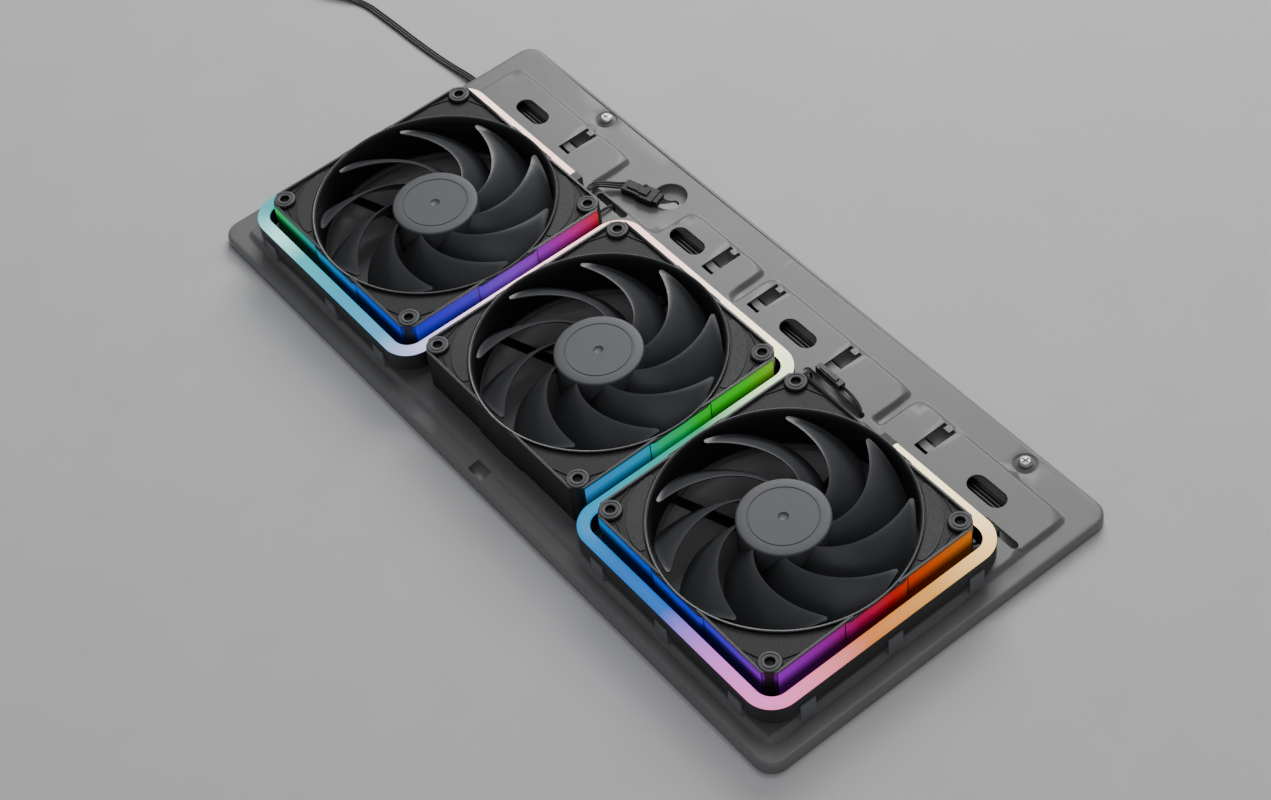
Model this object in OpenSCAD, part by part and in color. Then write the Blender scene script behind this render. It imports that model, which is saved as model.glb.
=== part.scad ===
// Radiator fan tray: three fans, a light strip and their wiring on a stamped steel tray.
// Millimetres, +Z up, origin at the centre of the tray's footprint, on the surface it stands on.

/* [Tray] */
// Length of the tray along the row of fans
tray_l = 418; // [414:1:430]
// Width of the tray
tray_w = 195; // [195:1:205]
// Height of the folded flange, from the surface to the top of the rim
rim_z = 6; // [6:0.5:8]
// Thickness of the sheet
sheet = 1; // [0.8:0.1:1.2]

/* [Fans] */
// Distance between neighbouring fans' axes
fan_pitch = 128; // [127:0.5:129]
// Side of each fan's square frame
fan_side = 117; // [116:0.5:118]
// Radius of the duct inside each frame
duct_r = 57.3; // [57:0.1:57.5]
// Distance between neighbouring mounting holes
hole_pitch = 105; // [105:0.5:106]
// Radius of the mounting holes
hole_r = 2.25; // [2.15:0.05:2.3]
// Number of blades on each impeller
blades = 9; // [7:1:9]
// Radius of the impeller's hub
hub_r = 20.75; // [20:0.25:21]

/* [Light strip] */
// Width of the light strip
strip_w = 6; // [5:0.5:6]
// Centreline radius of the light strip's corners
strip_bend = 11; // [10:0.5:12]

/* [Lead] */
// Width of the flat three-wire lead
lead_w = 4.2; // [4:0.1:4.5]
// Thickness of the flat lead
lead_t = 1.5; // [1.4:0.1:1.6]

/* [Hidden] */
$fn = 64;
gap = 0.05;

// Tray levels and the outline of its raised parts
platform_z = rim_z + 2.5;
slope = 2.5;
row_x = 2;
row_y = -20;
platform_x0 = -198.7;
platform_x1 = 199.7;
platform_y0 = -90;
platform_y1 = 57.5;
pad_y1 = 81.3;
// Each pad's low and high X
pads = [[-198.7, -102.3], [-56.6, 0.6], [3, 102.7], [105, 199.7]];
oval_x = [-165, -41, 40, 165.3];
oval_y = 64.8;
oval_l = 21.5;
oval_w = 9.8;
tie_x = [-132.2, -19.9, 13.5, 66.2, 128.5];
tie_y0 = 59.1;
tie_y1 = 77.7;
tie_w = 7.7;
cable_hole = [-72, 79];
cable_hole_r = 8.8;
// Long lead slots: low and high X of each
lead_slots = [[-96, -74], [58, 98], [174, 196]];
lead_slot_y = 53.2;
lead_slot_w = 4;
screw_at = [[-136.5, 89.9], [164.1, 89.1]];
dimple_r = 5.45;
air_r = 56;
screw_pitch = 91;
screw_r = 1.5;

// Fan levels
pad_h = 0.5;
frame_z0 = platform_z + pad_h;
frame_z1 = frame_z0 + 24;
ring_r = 59.5;
hub_plate_r = 21;
rotor_top = frame_z1 - 0.7;
blade_z0 = frame_z0 + 4.2;
blade_z1 = frame_z1 - 1.6;
blade_tip_r = 55.8;
blade_t = 1.5;
blade_phase = [65.4, 53.2, 40.6];

// Light strip levels and route
strip_z0 = 13.5;
strip_z1 = 25.5;
strip_up = 43;
strip_down = -85.2;
strip_x = [-189, -62, 66, 196.2];
strip_start = -101.5;
strip_end = 129;

// Route of the free lead: its middle line, lying on the surface
lead_z = lead_t / 2 + 0.05;
lead_route = [[-208, 60, 2.4], [-212, 60, 2.3], [-218, 59.8, 1.8], [-226, 59, 1.2], [-235, 58, 0.9],
    [-247, 57, 0.8], [-260, 56.2, 0.8], [-272.5, 55.7, 0.8], [-286, 55, 0.8], [-298.6, 54.2, 0.8],
    [-307, 52.2, 0.8], [-314, 49.2, 0.8], [-321, 45.6, 0.8], [-329, 42.2, 1.1], [-338, 39.4, 1.8],
    [-346, 38.3, 2.3], [-352, 38.2, 2.35]];
coil_at = [-352, 62];
coil_in = 19.2;
coil_out = 24.6;
coil_h = 4.5;
tail_route = [[-352, 82, 2.3], [-345, 79.6, 2], [-340, 75, 1.7], [-338, 69, 1.6], [-340, 64, 1.8],
    [-344, 61, 2.2]];

module at_fan(i) { translate([row_x + (i - 2) * fan_pitch, row_y, 0]) children(); }

module corners(s) { for (x = [-1, 1], y = [-1, 1]) translate([x * s / 2, y * s / 2, 0]) children(); }

module block(x0, x1, y0, y1, z0, h) { translate([x0, y0, z0]) cube([x1 - x0, y1 - y0, h]); }

// The platform under the fans and the four pads beside it, shrunk by inset on every side
module raised(z0, h, inset) {
    e = slope / 2 + inset;
    block(platform_x0 + e, platform_x1 - e, platform_y0 + e, platform_y1 + slope / 2 - inset, z0, h);
    for (p = pads) block(p[0] + e, p[1] - e, platform_y1 - 20, pad_y1 - e, z0, h);
}

module slot_cut(x0, x1, y, w, z0, h) {
    translate([x0 + w / 2, y - w / 2, z0]) cube([x1 - x0 - w, w, h]);
    for (x = [x0 + w / 2, x1 - w / 2]) translate([x, y, z0]) cylinder(r = w / 2, h = h);
}

module rounded_plate(l, w, r, z0, h) {
    translate([0, 0, z0]) difference() {
        translate([-l / 2, -w / 2, 0]) cube([l, w, h]);
        for (x = [-1, 1], y = [-1, 1]) difference() {
            translate([x * (l / 2 - r / 2) - r / 2 - gap, y * (w / 2 - r / 2) - r / 2 - gap, -1])
                cube([r + 2 * gap, r + 2 * gap, h + 2]);
            translate([x * (l / 2 - r), y * (w / 2 - r), -2]) cylinder(r = r, h = h + 4);
        }
    }
}

module tray() {
    color([0.2, 0.21, 0.23]) difference() {
        union() {
            difference() {
                rounded_plate(tray_l, tray_w, 9, 0, rim_z);
                rounded_plate(tray_l - 2 * sheet, tray_w - 2 * sheet, 8, -1, rim_z - sheet + 1);
            }
            raised(rim_z - sheet, platform_z - rim_z + sheet, 0);
        }
        raised(rim_z - sheet - 0.01, platform_z - rim_z, sheet);
        for (i = [1:3]) at_fan(i) {
            translate([0, 0, -1]) cylinder(r = air_r, h = 20);
            corners(hole_pitch) translate([0, 0, -1]) cylinder(r = hole_r, h = 20);
            corners(screw_pitch) translate([0, 0, -1]) cylinder(r = screw_r + 0.2, h = 20);
        }
        for (x = oval_x) slot_cut(x - oval_l / 2, x + oval_l / 2, oval_y, oval_w, 2, 10);
        for (x = tie_x) translate([x - tie_w / 2, tie_y0, 2]) difference() {
            cube([tie_w, tie_y1 - tie_y0, 10]);
            translate([tie_w / 2 - 1.8, tie_y1 - tie_y0 - 2.5, -1]) cube([3.6, 3, 12]);
        }
        for (s = lead_slots) slot_cut(s[0], s[1], lead_slot_y, lead_slot_w, 2, 10);
        translate([cable_hole[0], cable_hole[1], 2]) cylinder(r = cable_hole_r, h = 10);
        for (p = screw_at) translate([p[0], p[1], 2]) cylinder(r = 2.2, h = 10);
        translate([-3, -tray_w / 2 + 2.5, 2]) cube([10, 6, 10]);
        translate([-tray_l / 2 - 1, 56, -1]) cube([4, 8, 4.9]);
    }
    // Lowered bridges across the tie-down slots
    color([0.2, 0.21, 0.23]) for (x = tie_x) translate([x - tie_w / 2 - 1, 62, rim_z - sheet])
        cube([tie_w + 2, 4, sheet + 1.6]);
}

module fan_frame(i) {
    color([0.05, 0.05, 0.055]) at_fan(i) translate([0, 0, frame_z0]) {
        difference() {
            union() {
                frame_block();
                cylinder(r = ring_r, h = 24, $fn = 96);
            }
            translate([0, 0, -1]) cylinder(r = duct_r, h = 30, $fn = 96);
            corners(hole_pitch) translate([0, 0, -1]) cylinder(r = hole_r, h = 30);
            corners(screw_pitch) translate([0, 0, -1]) cylinder(r = screw_r + 0.05, h = 4.2);
            corner_pockets();
        }
        difference() {
            union() {
                cylinder(r = hub_plate_r, h = 2);
                cylinder(r = 5, h = 16);
                for (a = [20:90:290]) rotate([0, 0, a]) translate([hub_plate_r - 2, -2, 0])
                    cube([duct_r - hub_plate_r + 3, 4, 3]);
            }
            translate([0, 0, -1]) cylinder(r = 3.55, h = 20);
        }
    }
}

module frame_block() {
    c = 5;
    s = fan_side / 2;
    linear_extrude(24) polygon([[-s + c, -s], [s - c, -s], [s, -s + c], [s, s - c], [s - c, s],
        [-s + c, s], [-s, s - c], [-s, -s + c]]);
}

// Recesses in the top of the corners, around the bosses that carry the mounting holes
module corner_pockets() {
    corners(hole_pitch) translate([0, 0, 21]) difference() {
        translate([-9, -9, 0]) cube([14.2, 14.2, 5]);
        translate([0, 0, -1]) cylinder(r = 5.4, h = 8);
    }
}

module fan_pads(i) {
    color([0.12, 0.12, 0.125]) at_fan(i) corners(hole_pitch) for (z = [platform_z, frame_z1])
        translate([0, 0, z]) difference() {
            cylinder(r = 5, h = pad_h);
            translate([0, 0, -1]) cylinder(r = 2.6, h = 3);
        }
}

module fan_screws(i) {
    color([0.1, 0.1, 0.1]) at_fan(i) corners(screw_pitch)
        translate([0, 0, platform_z - sheet - 1.65]) difference() {
            union() {
                cylinder(r = 2.8, h = 1.6);
                cylinder(r = screw_r, h = 6.2);
            }
            for (a = [0, 90]) rotate([0, 0, a]) translate([-1.6, -0.3, -0.5]) cube([3.2, 0.6, 1.3]);
        }
}

module fan_board(i) {
    color([0.05, 0.25, 0.12]) at_fan(i) translate([0, 0, frame_z0 + 2.05]) {
        difference() {
            cylinder(r = 16.5, h = 1);
            translate([0, 0, -1]) cylinder(r = 5.3, h = 3);
        }
        for (a = [10, 100, 200]) rotate([0, 0, a]) translate([9, -1.5, 0.5]) cube([3, 3, 1.3]);
    }
}

module stator_core(i) {
    color([0.5, 0.5, 0.52]) at_fan(i) translate([0, 0, frame_z0 + 6]) difference() {
        union() {
            cylinder(r = 8, h = 8);
            for (a = [0:90:270]) rotate([0, 0, a]) {
                translate([6, -2, 0]) cube([8, 4, 8]);
                intersection() {
                    cylinder(r = 14.6, h = 8);
                    translate([12.6, -8, 0]) cube([4, 16, 8]);
                }
            }
        }
        translate([0, 0, -1]) cylinder(r = 5.05, h = 20);
    }
}

module stator_coils(i) {
    color([0.65, 0.33, 0.14]) at_fan(i) for (a = [0:90:270]) rotate([0, 0, a]) difference() {
        translate([8.2, -4, frame_z0 + 4.5]) cube([4.2, 8, 11]);
        translate([8, -2.05, frame_z0 + 5.95]) cube([5, 4.1, 8.1]);
    }
}

module bearing(i) {
    color([0.7, 0.55, 0.25]) at_fan(i) translate([0, 0, frame_z0 + 0.5]) difference() {
        cylinder(r = 3.5, h = 15);
        translate([0, 0, -1]) cylinder(r = 1.54, h = 20);
    }
}

module shaft(i) {
    color("silver") at_fan(i) translate([0, 0, frame_z0 + 1]) cylinder(r = 1.5, h = 19.4);
}

module rotor_cup(i) {
    color([0.45, 0.45, 0.47]) at_fan(i) translate([0, 0, frame_z0 + 5]) difference() {
        cylinder(r = 18.2, h = 15.4);
        translate([0, 0, -1]) cylinder(r = 17.2, h = 15.4);
        translate([0, 0, -1]) cylinder(r = 1.5, h = 20);
    }
}

module magnet_ring(i) {
    color([0.15, 0.15, 0.15]) at_fan(i) translate([0, 0, frame_z0 + 5.2]) difference() {
        cylinder(r = 17.15, h = 13);
        translate([0, 0, -1]) cylinder(r = 15.2, h = 20);
    }
}

// Blade surface: t runs from the hub to the tip, u from the leading edge to the trailing edge
blade_nr = 7;
blade_nu = 7;
function lead_angle(t) = 60.4 * t + 2.2 * sin(180 * t);
function blade_r(t) = hub_r - 0.4 + t * (blade_tip_r - hub_r + 0.4);
function blade_span(t, u) = lead_angle(t) - (38 - 2 * t) * u;
function blade_rise(t, u) = blade_z1 - 0.4 * t - (blade_z1 - blade_z0 - 2 * t) * pow(u, 1.25);
function blade_point(t, u, side) =
    let (a = blade_span(t, u), r = blade_r(t), thin = side * blade_t / 2 * (0.35 + 0.65 * sin(180 * (0.1 + 0.8 * u))))
    [r * cos(a), r * sin(a), blade_rise(t, u) - 0.3 + thin];

module blade() {
    nr = blade_nr;
    nu = blade_nu;
    n = (nr + 1) * (nu + 1);
    top = [for (j = [0:nr], k = [0:nu]) blade_point(j / nr, k / nu, 1)];
    low = [for (j = [0:nr], k = [0:nu]) blade_point(j / nr, k / nu, -1)];
    function at(j, k) = j * (nu + 1) + k;
    faces = concat(
        [for (j = [0:nr - 1], k = [0:nu - 1]) [at(j, k), at(j + 1, k), at(j + 1, k + 1)]],
        [for (j = [0:nr - 1], k = [0:nu - 1]) [at(j, k), at(j + 1, k + 1), at(j, k + 1)]],
        [for (j = [0:nr - 1], k = [0:nu - 1]) [n + at(j, k), n + at(j + 1, k + 1), n + at(j + 1, k)]],
        [for (j = [0:nr - 1], k = [0:nu - 1]) [n + at(j, k), n + at(j, k + 1), n + at(j + 1, k + 1)]],
        [for (j = [0:nr - 1], k = [0, nu]) k == 0
            ? [at(j, k), n + at(j, k), n + at(j + 1, k)] : [at(j, k), n + at(j + 1, k), n + at(j, k)]],
        [for (j = [0:nr - 1], k = [0, nu]) k == 0
            ? [at(j, k), n + at(j + 1, k), at(j + 1, k)] : [at(j, k), at(j + 1, k), n + at(j + 1, k)]],
        [for (j = [0, nr], k = [0:nu - 1]) j == 0
            ? [at(j, k), n + at(j, k + 1), n + at(j, k)] : [at(j, k), n + at(j, k), n + at(j, k + 1)]],
        [for (j = [0, nr], k = [0:nu - 1]) j == 0
            ? [at(j, k), at(j, k + 1), n + at(j, k + 1)] : [at(j, k), n + at(j, k + 1), at(j, k + 1)]]);
    polyhedron(concat(top, low), faces);
}

module impeller(i) {
    color([0.3, 0.3, 0.32]) at_fan(i) {
        difference() {
            translate([0, 0, frame_z0 + 4.5]) cylinder(r = hub_r, h = rotor_top - frame_z0 - 4.5);
            translate([0, 0, frame_z0 + 3.5]) cylinder(r = 18.25, h = 17);
            translate([0, 0, rotor_top - 0.5]) cylinder(r = 2.25, h = 2);
            translate([0, 0, rotor_top - 0.3]) difference() {
                cylinder(r = 15.8, h = 1);
                translate([0, 0, -1]) cylinder(r = 15.2, h = 3);
            }
        }
        for (k = [0:blades - 1]) rotate([0, 0, blade_phase[i - 1] + k * 360 / blades]) blade();
    }
}

function unit(v) = v / norm(v);

// A round wire swept along its points; across is a direction that no stretch of it follows
module wire(points, r, across) {
    n = len(points);
    sides = 8;
    rings = [for (k = [0:n - 1])
        let (d = unit(points[min(k + 1, n - 1)] - points[max(k - 1, 0)]), u = unit(cross(d, across)), v = cross(d, u))
        [for (j = [0:sides - 1]) points[k] + r * (cos(j * 45) * u + sin(j * 45) * v)]];
    swept(rings, sides);
}

// One closed solid through rings of equal length
module swept(rings, sides) {
    n = len(rings);
    last = sides - 1;
    faces = concat(
        [[for (k = [0:last]) k]],
        [[for (k = [last:-1:0]) (n - 1) * sides + k]],
        [for (j = [0:n - 2], k = [0:last]) [j * sides + k, (j + 1) * sides + k, (j + 1) * sides + (k + 1) % sides]],
        [for (j = [0:n - 2], k = [0:last]) [j * sides + k, (j + 1) * sides + (k + 1) % sides,
            j * sides + (k + 1) % sides]]);
    polyhedron([for (r = rings, p = r) p], faces);
}

// Each lead runs from its fan's foot, under the light strip, to a slot and down into the tray
module fan_lead(i) {
    x0 = [-84, 54, 183][i - 1];
    bend = [-84, 62, 184][i - 1];
    color([0.06, 0.06, 0.06]) {
        wire([[x0, 39.9, 10.2], [(x0 + bend) / 2, 41.5, 10.2], [bend, 44, 10.2], [bend, 51.5, 9.9],
            [bend, lead_slot_y, 8.6], [bend, lead_slot_y + 0.2, 6.5], [bend, lead_slot_y + 0.2, 4.5]], 0.9, [1, 0, 0.4]);
        if (i == 2) translate([62.7, 55.6, platform_z + 0.05]) cube([16.5, 3.8, 4]);
        if (i == 2) wire([[79.3, 57.5, 10.5], [86, 57.2, 10], [93, 55.5, 9.6], [96, 53.6, 8.4], [96.3, 53.2, 5]],
            0.9, [0.3, 1, 0]);
    }
}

// The light strip's route as bars of width w between two levels
module strip_bar(w, z0, z1, start, end) {
    h = z1 - z0;
    b = strip_bend;
    translate([0, 0, z0]) {
        translate([strip_x[0] + b, strip_up - w / 2, 0]) cube([start - strip_x[0] - b, w, h]);
        translate([strip_x[0] - w / 2, strip_down + b, 0]) cube([w, strip_up - strip_down - 2 * b, h]);
        translate([strip_x[0] + b, strip_down - w / 2, 0]) cube([strip_x[1] - strip_x[0] - 2 * b, w, h]);
        translate([strip_x[1] - w / 2, strip_down + b, 0]) cube([w, strip_up - strip_down - 2 * b, h]);
        translate([strip_x[1] + b, strip_up - w / 2, 0]) cube([strip_x[2] - strip_x[1] - 2 * b, w, h]);
        translate([strip_x[2] - w / 2, strip_down + b, 0]) cube([w, strip_up - strip_down - 2 * b, h]);
        translate([strip_x[2] + b, strip_down - w / 2, 0]) cube([strip_x[3] - strip_x[2] - 2 * b, w, h]);
        translate([strip_x[3] - w / 2, strip_down + b, 0]) cube([w, strip_up - strip_down - 2 * b, h]);
        translate([end, strip_up - w / 2, 0]) cube([strip_x[3] - b - end, w, h]);
        strip_corner(strip_x[0] + b, strip_up - b, 90, w, h);
        strip_corner(strip_x[0] + b, strip_down + b, 180, w, h);
        strip_corner(strip_x[1] - b, strip_down + b, 270, w, h);
        strip_corner(strip_x[1] + b, strip_up - b, 90, w, h);
        strip_corner(strip_x[2] - b, strip_up - b, 0, w, h);
        strip_corner(strip_x[2] + b, strip_down + b, 180, w, h);
        strip_corner(strip_x[3] - b, strip_down + b, 270, w, h);
        strip_corner(strip_x[3] - b, strip_up - b, 0, w, h);
    }
}

module strip_corner(x, y, a, w, h) {
    translate([x, y, 0]) rotate([0, 0, a]) intersection() {
        difference() {
            cylinder(r = strip_bend + w / 2, h = h);
            translate([0, 0, -1]) cylinder(r = strip_bend - w / 2, h = h + 2);
        }
        translate([0, 0, -0.5]) cube([strip_bend + w, strip_bend + w, h + 1]);
    }
}

module light_body() {
    color([0.04, 0.04, 0.045]) difference() {
        strip_bar(strip_w, strip_z0, strip_z1 - 1.5, strip_start, strip_end);
        strip_bar(strip_w - 1.6, strip_z0 + 1.5, strip_z1, strip_start, strip_end);
    }
}

module light_diffuser() {
    color([0.95, 0.97, 1]) {
        strip_bar(strip_w - 1.65, strip_z0 + 4, strip_z1 - 1.4, strip_start, strip_end);
        strip_bar(strip_w - 0.4, strip_z1 - 1.45, strip_z1, strip_start, strip_end);
    }
}

module light_board() {
    color([0.9, 0.9, 0.88]) strip_bar(strip_w - 1.7, strip_z0 + 1.55, strip_z0 + 1.9, strip_start, strip_end);
}

// Light emitters stand in a row on the board, along the strip's straight stretches
module light_emitters() {
    pitch = 16;
    z = strip_z0 + 1.95;
    color([1, 0.95, 0.8]) {
        for (x = [strip_x[0] + 16:pitch:strip_start - 6]) emitter(x, strip_up, z);
        for (x = strip_x, y = [strip_down + 16:pitch:strip_up - 14]) emitter(x, y, z);
        for (x = [strip_x[0] + 16:pitch:strip_x[1] - 14]) emitter(x, strip_down, z);
        for (x = [strip_x[1] + 16:pitch:strip_x[2] - 14]) emitter(x, strip_up, z);
        for (x = [strip_x[2] + 16:pitch:strip_x[3] - 14]) emitter(x, strip_down, z);
        for (x = [strip_end + 6:pitch:strip_x[3] - 14]) emitter(x, strip_up, z);
    }
}

module emitter(x, y, z) { translate([x - 1.5, y - 1.5, z]) cube([3, 3, 1.2]); }

module light_cap_start() {
    color([0.35, 0.36, 0.38]) translate([strip_start + gap, strip_up - 2.95, strip_z0]) cube([5.5, 5.9, 12]);
}

module light_cap_end() {
    color([0.05, 0.05, 0.05]) translate([strip_end - 8 - gap, strip_up - 2.95, strip_z0]) cube([8, 5.9, 12]);
}

// Feet between the tray and the strip, with a hook on the strip's open side
module light_feet() {
    color([0.5, 0.5, 0.52]) {
        for (x = [-175, -120, -44, 5, 46, 145, 170]) foot(x, strip_up, 0, 1);
        for (x = [-172, -120, -80, 86, 130, 178]) foot(x, strip_down, 0, -1);
        for (y = [-68, -20, 26]) foot(strip_x[0], y, 90, 1);
        for (y = [-68, -20, 26]) foot(strip_x[3], y, 90, -1);
        for (x = [strip_x[1], strip_x[2]], y = [-66, 24]) foot(x, y, 90, 0);
    }
}

module foot(x, y, a, hook) {
    translate([x, y, platform_z]) rotate([0, 0, a]) {
        translate([-4, -2.6, 0]) cube([8, 5.2, strip_z0 - platform_z]);
        if (hook != 0) translate([-4, hook > 0 ? 2.5 : -3.9, 0]) cube([8, 1.4, strip_z0 - platform_z]);
        if (hook != 0) translate([-4, hook > 0 ? 3.05 : -3.9, 2]) cube([8, 0.85, 8]);
    }
}

module light_lead() {
    color([0.1, 0.1, 0.1]) for (k = [-1:1])
        wire([[-95.3, strip_up + 1.5 * k, 18.5], [-94.2, 44.5 + 1.4 * k, 18.3], [-95.5 - 0.8 * k, 48, 16],
            [-98.5 - 1.2 * k, 51.5, 12.8], [-100 - 1.5 * k, 55.5, 10.2], [-97.5 - k, 59.8 + k, 9.2],
            [-94 - 0.7 * k, 63.2 + 1.3 * k, 8.8], [-91.3 - 0.6 * k, 66 + 1.8 * k, 8.7]], 0.65, [0.1, 0.1, 1]);
}

module at_plug() { translate([-91, 66, rim_z]) rotate([0, 0, 18]) children(); }

module light_plug() {
    color([0.05, 0.05, 0.05]) at_plug() translate([0, -3.5, 0.2]) cube([9, 7, 4.6]);
}

module light_socket() {
    color([0.08, 0.08, 0.08]) {
        at_plug() translate([9.1, -4.4, 0.1]) cube([11.9, 8.8, 5]);
        wire([[-70.9, 72.6, 8.4], [-69.2, 73.6, 8.2], [-67.8, 75.6, 7.7], [-67, 78, 6.8], [-66.9, 79.4, 5.4],
            [-66.9, 79.8, 3.6]], 0.8, [1, 0.3, 0.2]);
    }
}

module captive_screw(i) {
    color([0.6, 0.6, 0.62]) translate([screw_at[i - 1][0], screw_at[i - 1][1], rim_z + 0.02]) difference() {
        union() {
            cylinder(r = 3.4, h = 1.2);
            translate([0, 0, 1.2]) rotate_extrude() polygon([[0, 0], [3.4, 0], [3.1, 0.5], [2.2, 0.9], [0, 1]]);
            translate([0, 0, -5.9]) cylinder(r = 1.75, h = 6);
        }
        for (a = [0, 90]) rotate([0, 0, a]) translate([-1.9, -0.35, 1.2]) cube([3.8, 0.7, 2]);
        translate([0, 0, -3.2]) difference() {
            cylinder(r = 3, h = 1);
            translate([0, 0, -1]) cylinder(r = 1.4, h = 3);
        }
    }
}

module screw_clip(i) {
    color([0.3, 0.3, 0.32]) translate([screw_at[i - 1][0], screw_at[i - 1][1], rim_z - 3.08]) difference() {
        cylinder(r = 3.4, h = 0.8);
        translate([0, 0, -1]) cylinder(r = 1.46, h = 3);
    }
}

// Wires bundled along the underside of the tray
module harness() {
    color([0.08, 0.08, 0.08]) {
        for (k = [0:3]) translate([-196, 61.6 + 2 * k, 3.1]) rotate([0, 90, 0])
            cylinder(r = 0.95, h = 384, $fn = 16);
        translate([-205.4, 56.4, 1.8]) cube([9.6, 13, 2.4]);
    }
}

module lead_grommet() {
    color([0.06, 0.06, 0.06]) difference() {
        union() {
            translate([-tray_l / 2 + gap, 56.1, 0.3]) cube([sheet + 2.4, 7.8, 3.5]);
            translate([-tray_l / 2 + sheet + 0.2, 55, 0.3]) cube([2.2, 10, 4]);
        }
        translate([-tray_l / 2 - 1, 60 - lead_w / 2 - 0.1, 1.55]) cube([8, lead_w + 0.2, 1.7]);
    }
}

function flat_side(d) = unit([-d[1], d[0], 0]);
function ring_at(p, d, w, t) = let (s = flat_side(d))
    [for (q = [[-1, -0.5], [-0.8, -1], [0.8, -1], [1, -0.5], [1, 0.5], [0.8, 1], [-0.8, 1], [-1, 0.5]])
        p + s * q[0] * w / 2 + [0, 0, q[1] * t / 2]];

module flat_tube(route, w, t) {
    n = len(route);
    swept([for (k = [0:n - 1]) ring_at(route[k], route[min(k + 1, n - 1)] - route[max(k - 1, 0)], w, t)], 8);
}

module lead_cord() { color([0.03, 0.03, 0.03]) flat_tube(lead_route, lead_w, lead_t); }

module lead_coil() {
    color([0.03, 0.03, 0.03]) translate([coil_at[0], coil_at[1], 0.05]) rotate_extrude()
        translate([coil_in, 0]) square([coil_out - coil_in, coil_h]);
}

module lead_tail() { color([0.03, 0.03, 0.03]) flat_tube(tail_route, lead_w, lead_t); }

module lead_plug() {
    color([0.05, 0.05, 0.05]) translate([-344, 61, 0.05]) rotate([0, 0, 215]) translate([0, -4, 0]) difference() {
        cube([14, 8, 4.6]);
        for (k = [-1:1]) translate([8, 4 + 2.54 * k - 0.5, 1.8]) cube([7, 1, 1]);
    }
}

tray();
fan_frame(1);  // fan_frame_1
fan_pads(1);  // fan_pads_1
fan_screws(1);  // fan_screws_1
fan_board(1);  // fan_board_1
stator_core(1);  // stator_core_1
stator_coils(1);  // stator_coils_1
bearing(1);  // bearing_1
impeller(1);  // impeller_1
magnet_ring(1);  // magnet_ring_1
rotor_cup(1);  // rotor_cup_1
shaft(1);  // shaft_1
fan_lead(1);  // fan_lead_1
fan_frame(2);  // fan_frame_2
fan_pads(2);  // fan_pads_2
fan_screws(2);  // fan_screws_2
fan_board(2);  // fan_board_2
stator_core(2);  // stator_core_2
stator_coils(2);  // stator_coils_2
bearing(2);  // bearing_2
impeller(2);  // impeller_2
magnet_ring(2);  // magnet_ring_2
rotor_cup(2);  // rotor_cup_2
shaft(2);  // shaft_2
fan_lead(2);  // fan_lead_2
fan_frame(3);  // fan_frame_3
fan_pads(3);  // fan_pads_3
fan_screws(3);  // fan_screws_3
fan_board(3);  // fan_board_3
stator_core(3);  // stator_core_3
stator_coils(3);  // stator_coils_3
bearing(3);  // bearing_3
impeller(3);  // impeller_3
magnet_ring(3);  // magnet_ring_3
rotor_cup(3);  // rotor_cup_3
shaft(3);  // shaft_3
fan_lead(3);  // fan_lead_3
light_body();
light_diffuser();
light_board();
light_emitters();
light_cap_start();
light_cap_end();
light_feet();
light_lead();
light_plug();
light_socket();
captive_screw(1);  // captive_screw_1
captive_screw(2);  // captive_screw_2
screw_clip(1);  // screw_clip_1
screw_clip(2);  // screw_clip_2
harness();
lead_grommet();
lead_cord();
lead_coil();
lead_tail();
lead_plug();
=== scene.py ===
"""Looks of the radiator fan tray: stamped plate, three fans, light strip, wiring and the free lead."""

import math

import bmesh
import bpy
from mathutils import Matrix, Vector, geometry


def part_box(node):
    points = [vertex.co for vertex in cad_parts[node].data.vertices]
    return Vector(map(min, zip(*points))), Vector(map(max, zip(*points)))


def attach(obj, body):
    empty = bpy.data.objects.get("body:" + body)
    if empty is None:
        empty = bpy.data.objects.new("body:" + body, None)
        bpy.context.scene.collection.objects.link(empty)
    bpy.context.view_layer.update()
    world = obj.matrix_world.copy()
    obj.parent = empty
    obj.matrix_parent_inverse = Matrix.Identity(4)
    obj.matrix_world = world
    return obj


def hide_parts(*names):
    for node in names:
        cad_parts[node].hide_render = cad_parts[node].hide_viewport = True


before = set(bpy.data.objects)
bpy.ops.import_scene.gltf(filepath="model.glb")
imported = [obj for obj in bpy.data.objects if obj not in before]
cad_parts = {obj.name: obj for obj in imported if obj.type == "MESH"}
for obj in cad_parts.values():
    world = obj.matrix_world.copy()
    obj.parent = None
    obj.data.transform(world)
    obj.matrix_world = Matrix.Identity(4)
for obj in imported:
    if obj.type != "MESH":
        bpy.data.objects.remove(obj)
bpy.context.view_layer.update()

MM = 0.001


# ---- camera ----

def add_camera():
    azimuth, elevation, roll = (math.radians(a) for a in (57.857, 49.892, -8.407))
    back = Vector((math.cos(elevation) * math.sin(azimuth), -math.cos(elevation) * math.cos(azimuth),
                   math.sin(elevation)))
    level = Vector((math.cos(azimuth), math.sin(azimuth), 0))
    rise = back.cross(level)
    right = level * math.cos(roll) + rise * math.sin(roll)
    up = rise * math.cos(roll) - level * math.sin(roll)
    turn = Matrix((right, up, back)).transposed().to_4x4()
    data = bpy.data.cameras.new("camera")
    data.lens = 70.63
    data.sensor_width = 36
    data.clip_end = 20
    camera = bpy.data.objects.new("camera", data)
    camera.matrix_world = Matrix.Translation(Vector((0.63985, -0.40517, 0.87803))) @ turn
    bpy.context.scene.collection.objects.link(camera)
    bpy.context.scene.camera = camera


add_camera()


# ---- materials ----

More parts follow.
